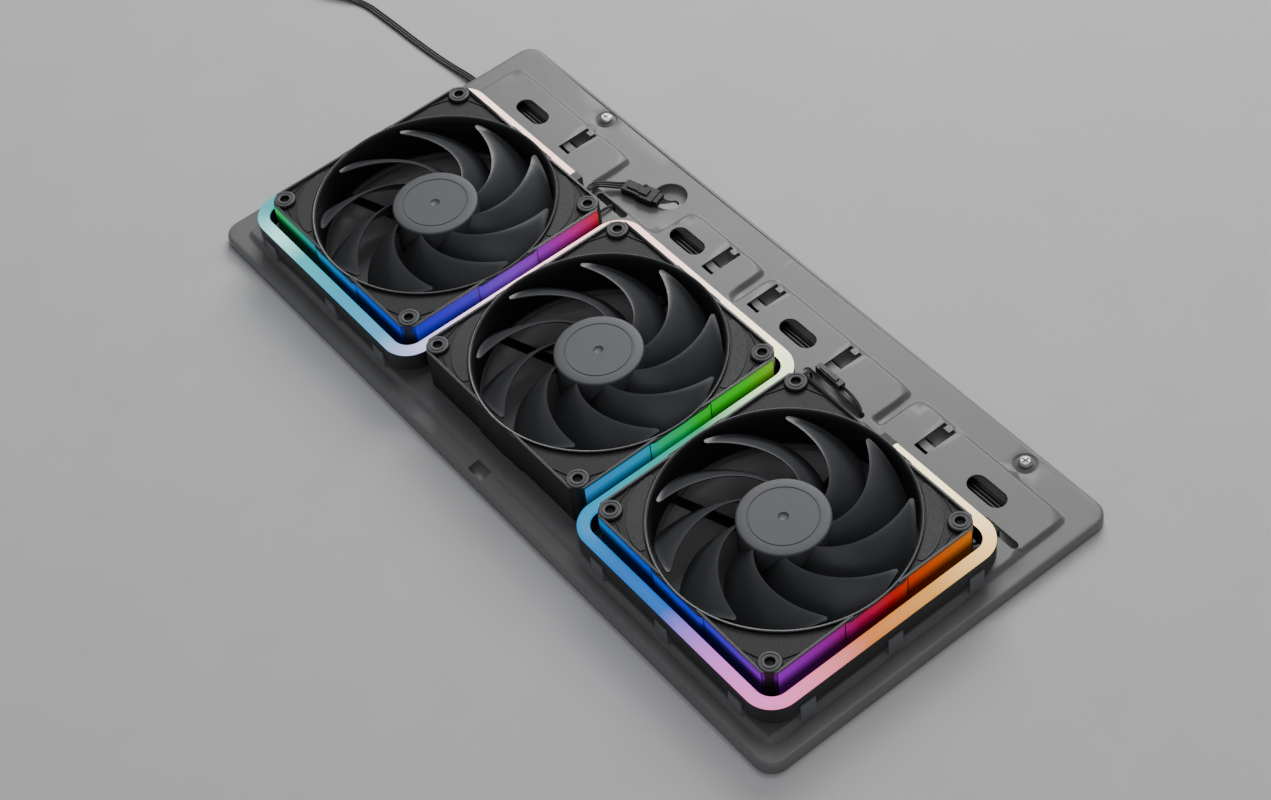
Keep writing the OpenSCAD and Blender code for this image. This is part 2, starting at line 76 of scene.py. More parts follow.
class Nodes:
    """A material's node tree with short calls for the nodes used here."""

    def __init__(self, name):
        self.material = bpy.data.materials.new(name)
        self.material.use_nodes = True
        self.tree = self.material.node_tree
        self.shader = self.tree.nodes["Principled BSDF"]
        self.coords = self.tree.nodes.new("ShaderNodeTexCoord")

    def add(self, kind, **values):
        node = self.tree.nodes.new(kind)
        for key, value in values.items():
            if key in node.inputs:
                node.inputs[key].default_value = value
            else:
                setattr(node, key, value)
        return node

    def link(self, a, b):
        self.tree.links.new(a, b)

    def noise(self, scale, detail=4.0, stretch=(1, 1, 1)):
        place = self.add("ShaderNodeMapping")
        place.inputs["Scale"].default_value = stretch
        self.link(self.coords.outputs["Object"], place.inputs["Vector"])
        texture = self.add("ShaderNodeTexNoise", Scale=scale, Detail=detail)
        self.link(place.outputs["Vector"], texture.inputs["Vector"])
        return texture.outputs["Fac"]

    def ramp(self, source, stops):
        node = self.add("ShaderNodeValToRGB")
        self.link(source, node.inputs["Fac"])
        ends = node.color_ramp.elements
        ends[0].position, ends[0].color = stops[0][0], (*stops[0][1], 1)
        ends[1].position, ends[1].color = stops[-1][0], (*stops[-1][1], 1)
        for at, color in stops[1:-1]:
            ends.new(at).color = (*color, 1)
        return node.outputs["Color"]

    def span(self, source, low, high):
        node = self.add("ShaderNodeMapRange")
        self.link(source, node.inputs["Value"])
        node.inputs["From Min"].default_value = 0.3
        node.inputs["From Max"].default_value = 0.7
        node.inputs["To Min"].default_value = low
        node.inputs["To Max"].default_value = high
        return node.outputs["Result"]

    def bump(self, heights, depth):
        """heights is a list of (source, weight); each adds to the bump"""
        normal = None
        for source, weight in heights:
            node = self.add("ShaderNodeBump", Strength=weight, Distance=depth)
            self.link(source, node.inputs["Height"])
            if normal:
                self.link(normal, node.inputs["Normal"])
            normal = node.outputs["Normal"]
        self.link(normal, self.shader.inputs["Normal"])


def finish_material(name, color, rough, metal=0.0, grain=1500, bump=0.25, vary=0.12, spread=0.07, coat=0.0,
                    stretch=(1, 1, 1), depth=0.00005):
    """A finish with blotches of tone, a fine grain and an uneven gloss"""
    m = Nodes(name)
    blotch = m.noise(28, 5)
    fine = m.noise(grain, 3, stretch)
    dark = tuple(c * (1 - vary) for c in color)
    light = tuple(min(1, c * (1 + vary)) for c in color)
    m.link(m.ramp(blotch, [(0.3, dark), (0.7, light)]), m.shader.inputs["Base Color"])
    m.link(m.span(fine, rough - spread, rough + spread), m.shader.inputs["Roughness"])
    m.bump([(fine, bump), (m.noise(grain / 6, 2), bump / 3)], depth)
    m.shader.inputs["Metallic"].default_value = metal
    m.shader.inputs["Coat Weight"].default_value = coat
    return m.material


def lamp_glow_and_painted_light(name, stops, strength, base, rough, fade=None):
    """Lit plastic whose colour runs along the piece by its map's U, and which may fade down it by the V; used
    for the strip, a real lamp, and for painted light on the fan walls
    """
    m = Nodes(name)
    split = m.add("ShaderNodeSeparateXYZ")
    m.link(m.coords.outputs["UV"], split.inputs["Vector"])
    color = m.ramp(split.outputs["X"], stops)
    m.link(color, m.shader.inputs["Emission Color"])
    fine = m.noise(600, 3)
    m.link(m.ramp(fine, [(0.3, tuple(c * 0.92 for c in base)), (0.7, base)]), m.shader.inputs["Base Color"])
    m.link(m.span(fine, rough - 0.05, rough + 0.05), m.shader.inputs["Roughness"])
    m.bump([(fine, 0.15)], 0.00003)
    if fade:
        dimmed = m.ramp(split.outputs["Y"], [(v, (strength * f,) * 3) for v, f in fade])
        m.link(dimmed, m.shader.inputs["Emission Strength"])
    else:
        m.shader.inputs["Emission Strength"].default_value = strength
    m.shader.inputs["Specular IOR Level"].default_value = 0.15
    return m.material


STEEL_PAINT = finish_material("painted_steel", (0.17, 0.17, 0.172), 0.4, 0.0, 2600, 0.5, 0.06, 0.06)
FRAME_PLASTIC = finish_material("frame_plastic", (0.006, 0.006, 0.0068), 0.6, 0.0, 1800, 0.35, 0.2)
# A lighter, glossier copy of the frame plastic for the thin lips: a painted highlight along their edges
RIM_PAINTED_HIGHLIGHT = finish_material("rim_painted_highlight", (0.075, 0.077, 0.082), 0.3, 0.0, 1800, 0.2, 0.1)
WEB_PLASTIC = finish_material("web_plastic", (0.022, 0.0225, 0.025), 0.6, 0.0, 1200, 0.5, 0.25)
BLADE_PLASTIC = finish_material("blade_plastic", (0.052, 0.054, 0.06), 0.36, 0.0, 1500, 0.25, 0.1)
HUB_PLASTIC = finish_material("hub_plastic", (0.085, 0.088, 0.095), 0.5, 0.0, 2400, 0.45, 0.08)
PAD_RUBBER = finish_material("pad_rubber", (0.1, 0.102, 0.108), 0.6, 0.0, 1400, 0.4, 0.15)
BLACK_STEEL = finish_material("black_steel", (0.03, 0.03, 0.032), 0.35, 0.6, 1500, 0.2, 0.1)
BOARD = finish_material("board", (0.015, 0.09, 0.045), 0.4, 0.0, 900, 0.2, 0.2, coat=0.4)
CORE_STEEL = finish_material("core_steel", (0.4, 0.4, 0.42), 0.35, 1.0, 3000, 0.5, 0.1, stretch=(1, 1, 8))
COPPER = finish_material("copper", (0.62, 0.25, 0.09), 0.3, 1.0, 2500, 0.8, 0.15, stretch=(1, 1, 6))
BRONZE = finish_material("bronze", (0.5, 0.34, 0.14), 0.4, 1.0, 2500, 0.4, 0.15)
MAGNET = finish_material("magnet", (0.04, 0.04, 0.042), 0.6, 0.0, 1500, 0.5, 0.2)
BRIGHT_STEEL = finish_material("bright_steel", (0.62, 0.62, 0.64), 0.22, 1.0, 2500, 0.15, 0.05,
                               stretch=(1, 1, 5))
ZINC = finish_material("zinc", (0.42, 0.42, 0.44), 0.32, 1.0, 1200, 0.3, 0.18)
SPRING_STEEL = finish_material("spring_steel", (0.25, 0.25, 0.27), 0.35, 1.0, 1500, 0.2, 0.12)
CABLE = finish_material("cable", (0.014, 0.014, 0.015), 0.4, 0.0, 700, 0.3, 0.2)
SILICONE = finish_material("silicone", (0.02, 0.02, 0.022), 0.5, 0.0, 900, 0.3, 0.2)
FLEX_BOARD = finish_material("flex_board", (0.7, 0.7, 0.68), 0.4, 0.0, 800, 0.2, 0.05)
EMITTER = finish_material("emitter", (0.85, 0.8, 0.55), 0.2, 0.0, 600, 0.1, 0.05, coat=0.5)
CAP_GREY = finish_material("cap_grey", (0.09, 0.092, 0.096), 0.55, 0.0, 1100, 0.4, 0.15)
CAP_BLACK = finish_material("cap_black", (0.02, 0.02, 0.021), 0.5, 0.0, 1100, 0.35, 0.15)
CLIP_GREY = finish_material("clip_grey", (0.16, 0.165, 0.175), 0.45, 0.0, 1100, 0.3, 0.12)
CONNECTOR = finish_material("connector", (0.008, 0.008, 0.0085), 0.55, 0.0, 1300, 0.3, 0.15)

# Finish of each CAD node that stays in view, by the start of its name
CAD_FINISH = {
    "fan_screws": BLACK_STEEL, "fan_board": BOARD, "stator_core": CORE_STEEL, "stator_coils": COPPER,
    "bearing": BRONZE, "magnet_ring": MAGNET, "rotor_cup": CORE_STEEL, "shaft": BRIGHT_STEEL,
    "light_board": FLEX_BOARD, "light_emitters": EMITTER, "light_feet": CLIP_GREY, "captive_screw": ZINC,
    "screw_clip": SPRING_STEEL, "harness": CABLE, "lead_grommet": CONNECTOR, "lead_plug": CONNECTOR,
}
for node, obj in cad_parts.items():
    for start, material in CAD_FINISH.items():
        if node.startswith(start):
            obj.data.materials.clear()
            obj.data.materials.append(material)


# ---- shapes, in millimetres ----

class Shape:
    """Vertices, faces, a material number for each face, and U along the piece for each vertex"""

    def __init__(self):
        self.points, self.faces, self.kinds, self.along = [], [], [], []

    def add(self, points, faces, kind=0, along=None):
        start = len(self.points)
        self.points += [Vector(p) for p in points]
        self.faces += [[start + i for i in f] for f in faces]
        self.kinds += [kind] * len(faces)
        self.along += along or [0.0] * len(points)

    def prism(self, outline, z0, z1, kind=0):
        n = len(outline)
        points = [(x, y, z0) for x, y in outline] + [(x, y, z1) for x, y in outline]
        sides = [[k, (k + 1) % n, n + (k + 1) % n, n + k] for k in range(n)]
        self.add(points, [list(range(n))[::-1], list(range(n, 2 * n))] + sides, kind)

    def block(self, low, high, kind=0):
        (x0, y0, z0), (x1, y1, z1) = low, high
        self.prism([(x0, y0), (x1, y0), (x1, y1), (x0, y1)], z0, z1, kind)

    def lathe(self, profile, centre=(0, 0), segments=48, kind=0):
        """A closed outline of (radius, z) turned about a vertical axis"""
        n = len(profile)
        points, faces = [], []
        for s in range(segments):
            a = 2 * math.pi * s / segments
            points += [(centre[0] + r * math.cos(a), centre[1] + r * math.sin(a), z) for r, z in profile]
        for s in range(segments):
            t = (s + 1) % segments
            faces += [[s * n + k, t * n + k, t * n + (k + 1) % n, s * n + (k + 1) % n] for k in range(n)]
        self.add(points, faces, kind)

    def sweep(self, rings, kind=0, along=None):
        """Rings of equal length joined in order, closed at both ends"""
        n, m = len(rings[0]), len(rings)
        faces = [list(range(n))[::-1], list(range((m - 1) * n, m * n))]
        for j in range(m - 1):
            faces += [[j * n + k, j * n + (k + 1) % n, (j + 1) * n + (k + 1) % n, (j + 1) * n + k]
                      for k in range(n)]
        spread = [u for u in along for _ in range(n)] if along else None
        self.add([p for ring in rings for p in ring], faces, kind, spread)


def make(name, shape, body, materials, replaced=(), at=(0, 0, 0), bevel=0.0, sharp=35):
    """Turns a shape into a piece that rides on a body"""
    mesh = bpy.data.meshes.new(name)
    offset = Vector(at)
    mesh.from_pydata([(p + offset) * MM for p in shape.points], [], shape.faces)
    for polygon, kind in zip(mesh.polygons, shape.kinds):
        polygon.material_index = kind
        polygon.use_smooth = True
    uv = mesh.uv_layers.new(name="map")
    low, high = min(p.z for p in shape.points), max(p.z for p in shape.points)
    for loop in mesh.loops:
        k = loop.vertex_index
        uv.data[loop.index].uv = (shape.along[k], (shape.points[k].z - low) / (high - low))
    for material in materials:
        mesh.materials.append(material)
    cleaner = bmesh.new()
    cleaner.from_mesh(mesh)
    bmesh.ops.remove_doubles(cleaner, verts=cleaner.verts, dist=1e-7)
    bmesh.ops.recalc_face_normals(cleaner, faces=cleaner.faces)
    cleaner.to_mesh(mesh)
    cleaner.free()
    mesh.set_sharp_from_angle(angle=math.radians(sharp))
    piece = bpy.data.objects.new(name, mesh)
    bpy.context.scene.collection.objects.link(piece)
    if bevel:
        edge = piece.modifiers.new("edge", "BEVEL")
        edge.width = bevel * MM
        edge.segments = 2
        edge.angle_limit = math.radians(40)
        edge.harden_normals = True
    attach(piece, body)
    if replaced:
        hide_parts(*replaced)
    return piece


def smooth_path(points, steps):
    """A smooth curve through the points, with steps parts in each stretch"""
    points = [Vector(p) for p in points]
    out = []
    for k in range(len(points) - 1):
        a, b = points[max(k - 1, 0)], points[k]
        c, d = points[k + 1], points[min(k + 2, len(points) - 1)]
        for s in range(steps):
            t = s / steps
            out.append(0.5 * (2 * b + (c - a) * t + (2 * a - 5 * b + 4 * c - d) * t * t
                              + (3 * b - a - 3 * c + d) * t * t * t))
    return out + [points[-1]]


def add_wire(shape, route, radius, kind=0, sides=10, steps=6):
    path = smooth_path(route, steps)
    rings = []
    side = None
    for k, p in enumerate(path):
        ahead = (path[min(k + 1, len(path) - 1)] - path[max(k - 1, 0)]).normalized()
        if side is None:
            side = ahead.orthogonal()
        side = (side - ahead * side.dot(ahead)).normalized()
        up = ahead.cross(side)
        turns = [2 * math.pi * j / sides for j in range(sides)]
        rings.append([p + radius * (side * math.cos(a) + up * math.sin(a)) for a in turns])
    shape.sweep(rings, kind)


# ---- the free lead: its route repeats the CAD route, in millimetres here ----

LEAD_W, LEAD_T = 4.2, 1.5
LEAD_ROUTE = [(-208, 60, 2.4), (-212, 60, 2.3), (-218, 59.8, 1.8), (-226, 59, 1.2), (-235, 58, 0.9),
              (-247, 57, 0.8), (-260, 56.2, 0.8), (-272.5, 55.7, 0.8), (-286, 55, 0.8), (-298.6, 54.2, 0.8),
              (-307, 52.2, 0.8), (-314, 49.2, 0.8), (-321, 45.6, 0.8), (-329, 42.2, 1.1), (-338, 39.4, 1.8),
              (-346, 38.3, 2.3)]
TAIL_ROUTE = [(-345, 79.6, 2), (-340, 75, 1.7), (-338, 69, 1.6), (-340, 64, 1.8), (-344, 61, 2.2)]
COIL_AT = (-352, 62)
COIL_R0, COIL_R1, COIL_TURNS = 23.8, 20.0, 2.5


def lead_path():
    turns = []
    steps = 24
    count = int(COIL_TURNS * steps)
    for k in range(count + 1):
        a = -math.pi / 2 - 2 * math.pi * k / steps
        r = COIL_R0 + (COIL_R1 - COIL_R0) * k / count
        turns.append((COIL_AT[0] + r * math.cos(a), COIL_AT[1] + r * math.sin(a), 2.35))
    path = smooth_path(LEAD_ROUTE + turns + TAIL_ROUTE, 3)
    return path, 3 * (len(LEAD_ROUTE) - 3), 3 * (len(LEAD_ROUTE) + count + 1)


def add_lead():
    path, on_edge, off_edge = lead_path()
    outline = []
    for wire in (-1, 0, 1):
        for a in (-52, 0, 52) if wire else (-48, 0, 48):
            outline.append((wire * 1.35 + 0.72 * math.sin(math.radians(a)), 0.72 * math.cos(math.radians(a))))
    outline = [(-2.05, 0)] + outline + [(2.05, 0)] + [(x, -y) for x, y in outline[::-1]]
    rings = []
    for k, p in enumerate(path):
        ahead = (path[min(k + 1, len(path) - 1)] - path[max(k - 1, 0)]).normalized()
        flat = Vector((-ahead.y, ahead.x, 0)).normalized()
        rise = flat.cross(ahead) * -1
        turned = min(max((k - on_edge + 9) / 12, 0), 1) * min(max((off_edge + 3 - k) / 8, 0), 1)
        a = turned * math.pi / 2
        p.z = max(p.z, 0.06 + LEAD_W / 2 * math.sin(a) + LEAD_T / 2 * math.cos(a))
        wide = flat * math.cos(a) + rise * math.sin(a)
        thin = rise * math.cos(a) - flat * math.sin(a)
        rings.append([p + wide * x + thin * y for x, y in outline])
    shape = Shape()
    shape.sweep(rings)
    lead = make("flat_lead", shape, "chassis", [CABLE], ("lead_cord", "lead_coil", "lead_tail"))


add_lead()


# ---- the stamped tray ----

def corner_mm(box):
    return [c / MM for c in box]


HALF_L, HALF_W = corner_mm(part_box("tray")[1])[:2]
RIM_Z, SHEET, STEP, SLOPE = 6.0, 1.0, 2.5, 2.7
FAN_PITCH, FAN_Y = 128, -20
# Distance of a fan's mounting holes from its axis, along each side
HOLE_AT = 52.5
FAN_X = [2 - FAN_PITCH, 2, 2 + FAN_PITCH]
PLATFORM = (-198.7, 199.7, -90, 57.5)
PAD_TOP = 81.3
PADS = [(-198.7, -102.3), (-56.6, 0.6), (3, 102.7), (105, 199.7)]
SCREWS = [(-136.5, 89.9), (164.1, 89.1)]
TIE_X = (-132.2, -19.9, 13.5, 66.2, 128.5)
BEND = 1.8


def ring_points(x, y, r, n, start=0.0):
    return [(x + r * math.cos(start + 2 * math.pi * k / n), y + r * math.sin(start + 2 * math.pi * k / n))
            for k in range(n)]


def obround(x0, x1, y, w, n=10):
    r = w / 2
    ends = [(x1 - r, -math.pi / 2), (x0 + r, math.pi / 2)]
    return [(x + r * math.cos(a + math.pi * k / n), y + r * math.sin(a + math.pi * k / n))
            for x, a in ends for k in range(n + 1)]


def rounded(hx, hy, r, n=8):
    corners = [(hx - r, hy - r, 0), (-hx + r, hy - r, 90), (-hx + r, -hy + r, 180), (hx - r, -hy + r, 270)]
    return [(x + r * math.cos(math.radians(a + 90 * k / n)), y + r * math.sin(math.radians(a + 90 * k / n)))
            for x, y, a in corners for k in range(n + 1)]


def box_distance(x, y, x0, x1, y0, y1, r):
    dx = abs(x - (x0 + x1) / 2) - (x1 - x0) / 2 + r
    dy = abs(y - (y0 + y1) / 2) - (y1 - y0) / 2 + r
    return math.hypot(max(dx, 0), max(dy, 0)) + min(max(dx, dy), 0) - r


def soft_min(a, b, k):
    h = max(k - abs(a - b), 0) / k
    return min(a, b) - h * h * k / 4


def tray_height(x, y):
    """Height of the sheet's top face: the raised platform with its pads, and a groove round each screw"""
    d = box_distance(x, y, *PLATFORM, 6)
    for x0, x1 in PADS:
        blend = 6 if x0 == PADS[1][0] else 2
        d = soft_min(d, box_distance(x, y, x0, x1, PLATFORM[3] - 30, PAD_TOP, 5.5), blend)
    t = min(max(-d / SLOPE, 0), 1)
    z = RIM_Z + STEP * t * t * (3 - 2 * t)
    for sx, sy in SCREWS:
        r = math.hypot(x - sx, y - sy)
        if 3.7 < r < 6:
            z -= 0.75 * math.sin(math.pi * (r - 3.7) / 2.3) ** 2
    return z


def tray_holes():
    holes = [ring_points(x, FAN_Y, 56, 72) for x in FAN_X]
    holes += [ring_points(x + i * HOLE_AT, FAN_Y + j * HOLE_AT, 2.25, 14)
              for x in FAN_X for i in (-1, 1) for j in (-1, 1)]
    holes += [obround(x - 10.75, x + 10.75, 64.8, 9.8) for x in (-165, -41, 40, 165.3)]
    for x in TIE_X:
        holes.append([(x - 3.85, 59.1), (x + 3.85, 59.1), (x + 3.85, 77.7), (x + 1.8, 77.7), (x + 1.8, 75.2),
                      (x - 1.8, 75.2), (x - 1.8, 77.7), (x - 3.85, 77.7)])
    holes += [obround(a, b, 53.2, 4) for a, b in ((-96, -74), (58, 98), (174, 196))]
    holes.append(ring_points(-72, 79, 8.8, 40))
    holes += [ring_points(x, y, 2.2, 14) for x, y in SCREWS]
    holes.append([(-3, -95), (7, -95), (7, -89), (-3, -89)])
    return holes


def inside(outline, x, y):
    odd = False
    for (ax, ay), (bx, by) in zip(outline, outline[1:] + outline[:1]):
        if (ay > y) != (by > y) and x < (bx - ax) * (y - ay) / (by - ay) + ax:
            odd = not odd
    return odd


def near(outline, x, y, margin):
    for (ax, ay), (bx, by) in zip(outline, outline[1:] + outline[:1]):
        length = (bx - ax) ** 2 + (by - ay) ** 2
        t = min(max(((x - ax) * (bx - ax) + (y - ay) * (by - ay)) / length, 0), 1) if length else 0
        if math.hypot(x - ax - t * (bx - ax), y - ay - t * (by - ay)) < margin:
            return True
    return False


def grid_lines(low, high, edges, widest):
    """Lines close together across each slope and no further apart than widest elsewhere"""
    lines = {low, high}
    for edge, inward in edges:
        lines |= {edge + inward * SLOPE * k / 6 for k in range(-1, 8)}
    lines = sorted(v for v in lines if low <= v <= high)
    out = []
    for a, b in zip(lines, lines[1:]):
        parts = max(1, math.ceil((b - a) / widest))
        out += [a + (b - a) * k / parts for k in range(parts)]
    return out + [lines[-1]]


def tray_surface():
    """The sheet's flat plan cut into triangles between its outline and its holes"""
    outer = rounded(HALF_L - BEND, HALF_W - BEND, 9 - BEND)
    holes = tray_holes()
    boxes = [(min(p[0] for p in h) - 1, max(p[0] for p in h) + 1, min(p[1] for p in h) - 1,
              max(p[1] for p in h) + 1) for h in holes]

    def holes_at(x, y):
        return [h for h, b in zip(holes, boxes) if b[0] < x < b[1] and b[2] < y < b[3]]

    points, edges = [], []
    for loop in [outer] + holes:
        start = len(points)
        points += loop
        edges += [(start + k, start + (k + 1) % len(loop)) for k in range(len(loop))]
    x_edges = [(PLATFORM[0], 1), (PLATFORM[1], -1)]
    x_edges += [(p[0], 1) for p in PADS] + [(p[1], -1) for p in PADS]
    y_edges = [(PLATFORM[2], 1), (PLATFORM[3], -1), (PAD_TOP, -1)]
    free = [(x, y) for x in grid_lines(-HALF_L + 3, HALF_L - 3, x_edges, 7)
            for y in grid_lines(-HALF_W + 3, HALF_W - 3, y_edges, 7)]
    for x, y in SCREWS:
        for r in (3.7, 4.1, 4.5, 4.9, 5.3, 5.7, 6):
            free += ring_points(x, y, r, 28)
    for x, y in free:
        if not inside(outer, x, y) or near(outer, x, y, 0.6):
            continue
        if not any(inside(h, x, y) or near(h, x, y, 0.5) for h in holes_at(x, y)):
            points.append((x, y))
    found = geometry.delaunay_2d_cdt([Vector(p) for p in points], edges, [], 0, 1e-5)
    plan, faces = found[0], []
    for face in found[2]:
        x = sum(plan[i].x for i in face) / len(face)
        y = sum(plan[i].y for i in face) / len(face)
        if inside(outer, x, y) and not any(inside(h, x, y) for h in holes_at(x, y)):
            faces.append(list(face))
    return outer, plan, faces


def add_tray():
    outer, plan, faces = tray_surface()
    shape = Shape()
    n = len(plan)
    heights = [tray_height(p.x, p.y) for p in plan]
    shape.add([(p.x, p.y, z) for p, z in zip(plan, heights)], faces)
    shape.add([(p.x, p.y, z - SHEET) for p, z in zip(plan, heights)], [f[::-1] for f in faces])
    count = {}
    for f in faces:
        for a, b in zip(f, f[1:] + f[:1]):
            count[(a, b)] = count.get((a, b), 0) + 1
    rim = [(a, b) for a, b in count if (b, a) not in count]
    on_outline = {k for k, p in enumerate(plan) if near(outer, p.x, p.y, 0.01)}
    walls = [[a, b, n + b, n + a] for a, b in rim if not (a in on_outline and b in on_outline)]
    shape.faces += walls
    shape.kinds += [0] * len(walls)
    # The flange is folded down round a bend and comes back up inside it
    arc = [math.radians(a) for a in (0, 22.5, 45, 67.5, 90)]
    profile = [(BEND * math.sin(a) - BEND, RIM_Z - BEND + BEND * math.cos(a)) for a in arc]
    profile += [(0, 0.15), (-0.15, 0)]
    inner = BEND - SHEET
    profile += [(-SHEET + 0.15, 0), (-SHEET, 0.15)]
    profile += [(inner * math.sin(a) - BEND, RIM_Z - BEND + inner * math.cos(a)) for a in arc[::-1]]
    rings = [[(x, y, z) for x, y in rounded(HALF_L + o, HALF_W + o, 9 + o)] for o, z in profile]
    m = len(rings[0])
    flange = [[j * m + k, j * m + (k + 1) % m, (j + 1) * m + (k + 1) % m, (j + 1) * m + k]
              for j in range(len(rings) - 1) for k in range(m)]
    shape.add([p for ring in rings for p in ring], flange)
    # Each tie-down slot has a lowered bridge
    for x in TIE_X:
        rings = []
        for k in range(9):
            t = k / 8
            drop = 1.3 * math.sin(math.pi * t) ** 0.6
            at_x, z = x - 4.6 + 9.2 * t, RIM_Z + STEP - SHEET - 0.05 - drop
            rings.append([(at_x, 62, z - 1), (at_x, 66, z - 1), (at_x, 66, z), (at_x, 62, z)])
        shape.sweep(rings)
    tray = make("stamped_tray", shape, "chassis", [STEEL_PAINT], ("tray",), sharp=38)
    cutter = Shape()
    cutter.block((-HALF_L - 2, 56, -1), (-HALF_L + 3, 64, 3.9))
    notch = make("notch_cutter", cutter, "chassis", [STEEL_PAINT])
    cut = tray.modifiers.new("notch", "BOOLEAN")
    cut.object = notch
    bpy.context.view_layer.objects.active = tray
    bpy.ops.object.modifier_apply(modifier="notch")
    bpy.data.objects.remove(notch)


add_tray()


# ---- fans ----

FRAME_LOW, FRAME_HIGH = (corner_mm(c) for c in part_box("fan_frame_2"))
FRAME_Z0, FRAME_Z1 = FRAME_LOW[2], FRAME_HIGH[2]
SIDE, CHAMFER, WALL, DUCT_R, RING_R = 58.5, 5.0, 1.6, 57.3, 59.5
HUB_R, TIP_R = 20.75, 55.8
BLADES = 9
TIP_ROUND = 0.92
# Half the length of each side over which the duct takes the wall's place
MID_SIDE = 12.5
# Each side's swelling reaches this far from the middle, and its slanted ends stop where its face begins
SWELL_OUT, SWELL_FLAT = 17, 14.6
PHASES = (65.4, 53.2, 40.6)


def turned(outline, degrees):
    c, s = math.cos(math.radians(degrees)), math.sin(math.radians(degrees))
    return [(x * c - y * s, x * s + y * c) for x, y in outline]


def add_fan_frame(i, x):
    shape = Shape()
    z0, z1 = FRAME_Z0, FRAME_Z1
    ring_low = [(DUCT_R + 0.9, z0), (DUCT_R, z0 + 1.2), (DUCT_R, z1 - 3.4), (DUCT_R + 0.25, z1 - 1.8),
                (DUCT_R + 0.8, z1 - 0.6), (DUCT_R + 1.1, z1 - 0.5), (RING_R - 0.05, z1 - 0.5),
                (RING_R, z1 - 1), (RING_R, z0)]
    shape.lathe(ring_low, segments=160)
    # The ring's top lip takes the lighter lip material: a painted highlight
    shape.lathe([(RING_R - 1, z1 - 0.6), (RING_R - 0.95, z1 - 0.1), (RING_R - 0.75, z1), (RING_R - 0.3, z1),
                 (RING_R - 0.1, z1 - 0.15), (RING_R - 0.05, z1 - 0.6)], segments=160, kind=1)
    # The walls follow the chamfered square, with a thin lip on top in the lighter lip material that paints a
    # highlight, and give way to the duct at mid-side
    for inner, low, high, kind in ((SIDE - WALL, z0, z1 - 1, 0), (SIDE - 1.1, z1 - 1.05, z1 - 0.15, 1)):
        ends, back = SIDE - CHAMFER, inner - CHAMFER + 0.4
        for quarter in range(4):
            for side in ([(MID_SIDE, SIDE), (MID_SIDE, inner), (back, inner), (ends, SIDE)],
                         [(-MID_SIDE, SIDE), (-ends, SIDE), (-back, inner), (-MID_SIDE, inner)],
                         [(ends, SIDE), (back, inner), (inner, back), (SIDE, ends)]):
                shape.prism(turned(side, 90 * quarter), low, high, kind)
    # The corner floors start a little off mid-side, where the wall and the duct have parted
    part = 15
    start = math.degrees(math.asin(part / RING_R))
    end = 90 - start
    arc = [(RING_R * 0.997 * math.cos(math.radians(start + (end - start) * k / 20)),
            RING_R * 0.997 * math.sin(math.radians(start + (end - start) * k / 20))) for k in range(21)]
    edge = SIDE - 0.3
    square = [(part, edge), (SIDE - CHAMFER, edge), (edge, SIDE - CHAMFER), (edge, part)]
    for quarter in range(4):
        floor = turned(square[::-1] + arc[::-1], 90 * quarter)
        shape.prism(floor, z1 - 2.6, z1 - 1.5, 0)
        shape.prism(floor, z0 + 0.1, z0 + 2, 0)
        # A mid-side swelling with slanted ends
        swelling = [(-SWELL_OUT, SIDE - 0.2), (SWELL_OUT, SIDE - 0.2), (SWELL_OUT, SIDE),
                    (SWELL_FLAT, SIDE + 0.75), (-SWELL_FLAT, SIDE + 0.75), (-SWELL_OUT, SIDE)]
        shape.prism(turned(swelling, 90 * quarter), z0 + 0.1, z1 - 0.6, 0)
        # A boss in each corner, with two thin ribs that tie it to the walls
        bx, by = turned([(HOLE_AT, HOLE_AT)], 90 * quarter)[0]
        boss = [(2.25, z0), (2.25, z1 - 0.02), (5.1, z1 - 0.02), (5.4, z1 - 0.4), (5.4, z0)]
        shape.lathe(boss, (bx, by), 40)
        for rib in ([(36, 57.4), (48.5, 53.2), (48.5, 53.8), (37, 57.8)],
                    [(57.4, 36), (57.8, 37), (53.8, 48.5), (53.2, 48.5)]):
            shape.prism(turned(rib, 90 * quarter), z1 - 1.6, z1 - 1.05, 0)
        # A curved web lies beside the duct in two of the corners, and small moulded bumps in all four
        if quarter in (0, 2):
            span = range(26, 65, 2)
            web = [(60.2 * math.cos(math.radians(a)), 60.2 * math.sin(math.radians(a))) for a in span]
            for a in span[::-1]:
                r = 60.2 + 7.4 * max(0, math.sin(math.pi * (a - 25) / 40)) ** 0.45
                web.append((r * math.cos(math.radians(a)), r * math.sin(math.radians(a))))
            shape.prism(turned(web, 90 * quarter), z1 - 1.6, z1 - 1.1, 2)
        for a, r in ((20, 61.5), (24, 62.5), (33, 69), (57, 69), (66, 62.5), (70, 61.5)):
            spot = turned([(r, 0)], a + 90 * quarter)[0]
            shape.lathe([(0.05, z1 - 1.55), (0.05, z1 - 1.15), (0.5, z1 - 1.2), (0.8, z1 - 1.55)], spot, 14)
    # Hub plate, bearing tube and four leaning struts
    shape.lathe([(3.55, z0), (3.55, z0 + 16), (5, z0 + 16), (5, z0 + 2), (19.6, z0 + 2), (19.6, z0 + 3.2),
                 (20.8, z0 + 3.2), (20.8, z0 + 0.3), (20.5, z0)], segments=96)
    for a in range(20, 360, 90):
        shape.prism(turned([(20, -1.9), (58, -1.4), (58, 1.4), (20, 1.9)], a), z0, z0 + 3)
    make(f"fan_housing_{i}", shape, "chassis", [FRAME_PLASTIC, RIM_PAINTED_HIGHLIGHT, WEB_PLASTIC],
         (f"fan_frame_{i}",), at=(x, FAN_Y, 0), bevel=0.15)


def lead_angle(t):
    """Angle of a blade's leading edge: swept forward, and pulled back where its tip is rounded"""
    return 60.4 * t + 2.2 * math.sin(math.pi * t) - 3.2 * max(0, (t - TIP_ROUND) / (1 - TIP_ROUND)) ** 2.6


